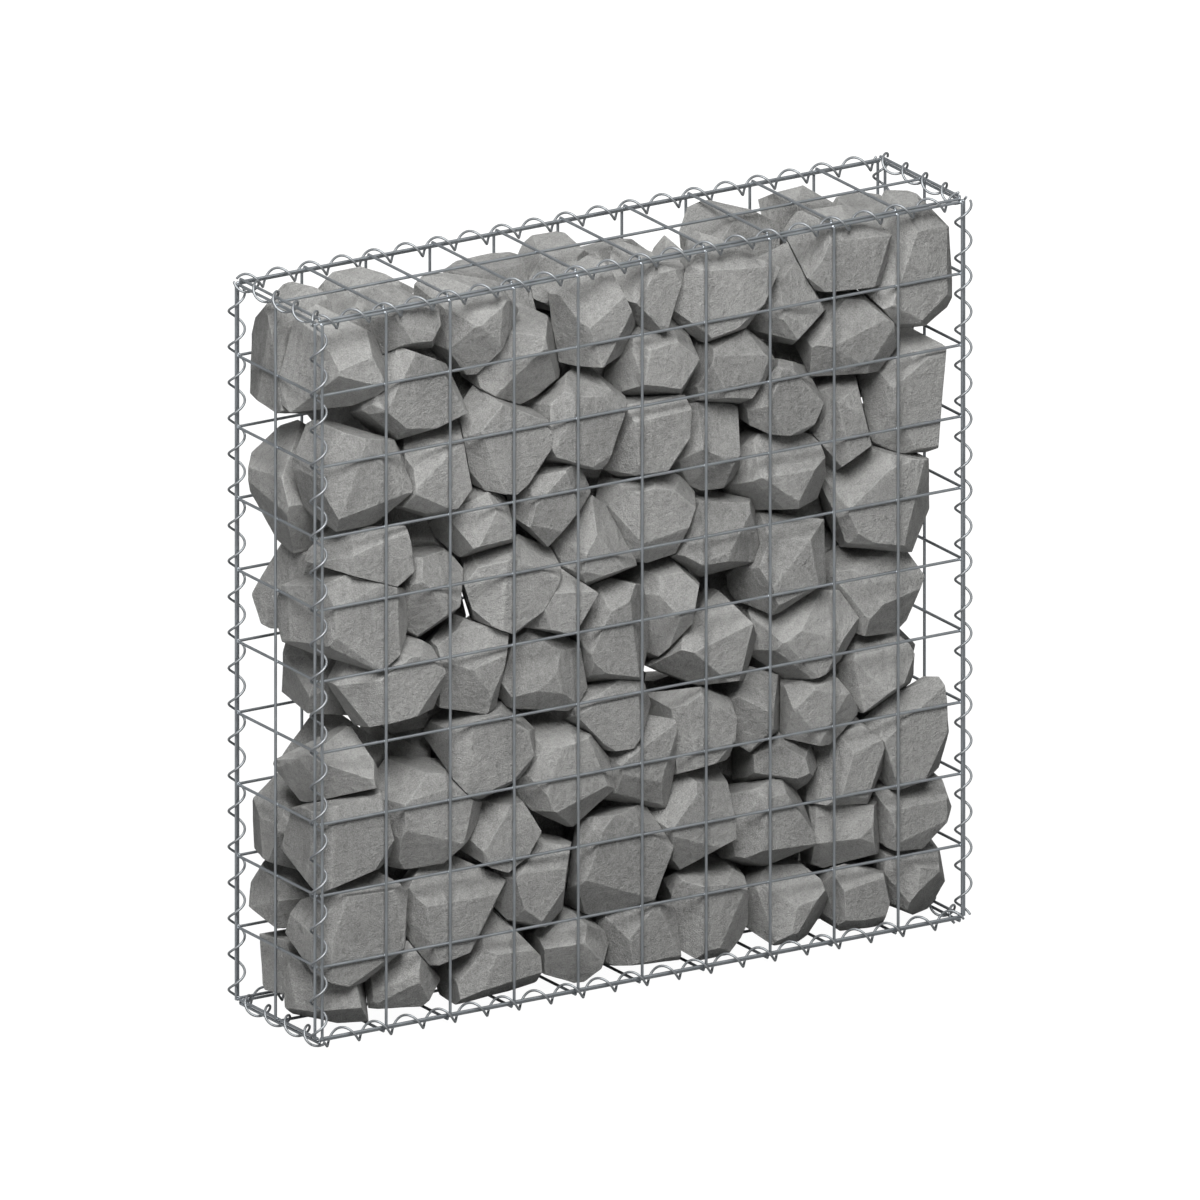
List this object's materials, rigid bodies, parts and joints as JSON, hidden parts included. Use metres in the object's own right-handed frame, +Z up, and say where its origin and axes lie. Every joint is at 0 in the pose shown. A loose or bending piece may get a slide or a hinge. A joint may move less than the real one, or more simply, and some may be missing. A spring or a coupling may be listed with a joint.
{
  "type": "gabion wall",
  "caption": "Free-standing gabion wall: a welded wire-mesh basket laced along its edges with spiral binders and packed with broken stone.",
  "frame": {"origin": "centre of the footprint, on the ground that the base binders stand on", "axes": "+X along the wall, +Y from the front face to the back face, +Z up"},
  "size_m": [1.0335, 0.2318, 1.0299],
  "materials": {
    "mesh_wire": "hot-dip galvanised, dull",
    "binder_wire": "galvanised, slightly brighter",
    "stone": "broken grey rock, matt"
  },
  "bodies": {
    "root": {"front_panel": "mesh_wire", "back_panel": "mesh_wire", "left_end_panel": "mesh_wire", "right_end_panel": "mesh_wire", "lid_panel": "mesh_wire", "base_panel": "mesh_wire", "front_left_spiral": "binder_wire", "front_right_spiral": "binder_wire", "back_left_spiral": "binder_wire", "back_right_spiral": "binder_wire", "lid_front_spiral": "binder_wire", "lid_back_spiral": "binder_wire", "lid_left_spiral": "binder_wire", "lid_right_spiral": "binder_wire", "base_front_spiral": "binder_wire", "base_back_spiral": "binder_wire", "base_left_spiral": "binder_wire", "base_right_spiral": "binder_wire", "stone_course_1": "stone", "stone_course_2": "stone", "stone_course_3": "stone", "stone_course_4": "stone", "stone_course_5": "stone", "stone_course_6": "stone", "stone_course_7": "stone", "stone_course_8": "stone", "stone_course_9": "stone", "stone_course_10": "stone"}
  },
  "joints": []
}
